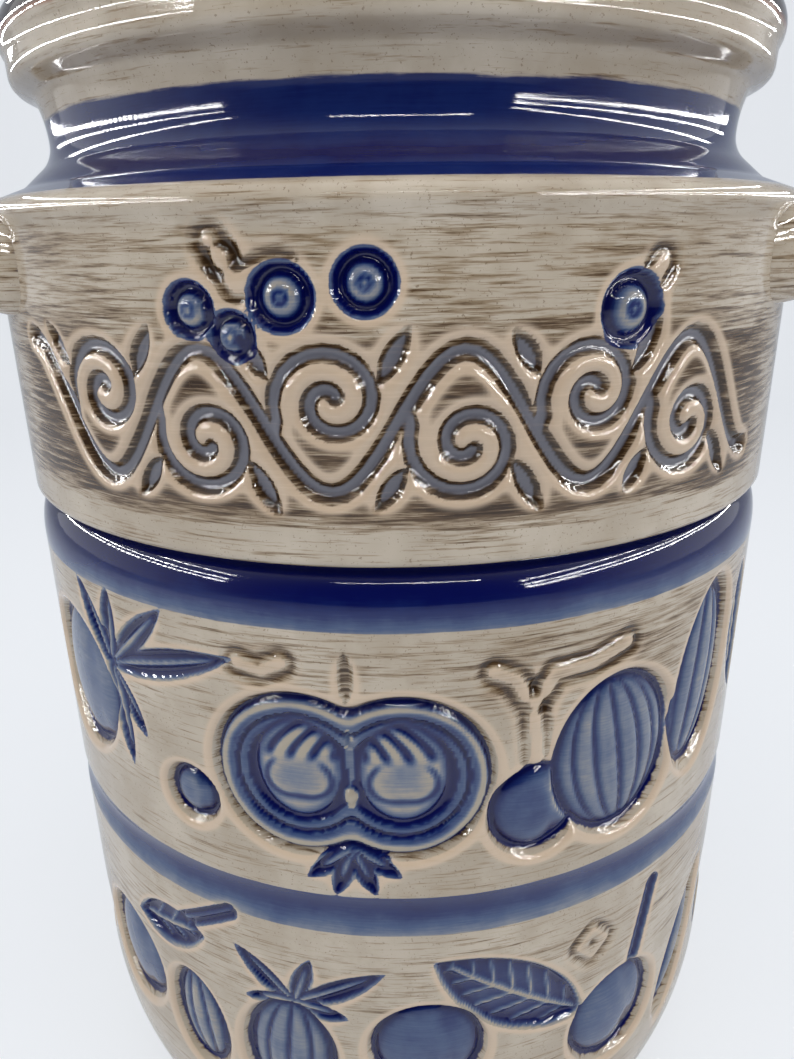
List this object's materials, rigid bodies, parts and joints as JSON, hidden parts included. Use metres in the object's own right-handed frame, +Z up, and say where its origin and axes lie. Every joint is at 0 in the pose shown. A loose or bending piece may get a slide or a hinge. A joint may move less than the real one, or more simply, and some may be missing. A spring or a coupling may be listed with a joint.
{
  "type": "lidded stoneware jar",
  "caption": "Tall stoneware preserving jar with sunken fruit friezes between grooves, a waisted neck, lug handles and a knobbed lift-off lid.",
  "frame": {"origin": "middle of the standing ring, on the surface the pot stands on", "axes": "+Z up along the pot's axis, the fruit front faces -Y, the handles stand out along +X and -X"},
  "size_m": [0.2366, 0.185, 0.3178],
  "materials": {
    "glazed_wall": "glossy beige salt glaze with cobalt bands and fruit",
    "glazed_handle": "glossy beige glaze",
    "glazed_lid": "glossy beige glaze with a cobalt ring",
    "cobalt_glaze": "glossy cobalt glaze"
  },
  "bodies": {
    "pot": {"pot_body": "glazed_wall", "handle_left": "glazed_handle", "handle_right": "glazed_handle"},
    "lid": {"lid": "glazed_lid", "lid_knob": "cobalt_glaze"}
  },
  "joints": [
    {"name": "lid_lift", "type": "slide", "parent": "pot", "child": "lid", "axis": [0, 0, 1], "range_m": [0, 0.08]}
  ]
}
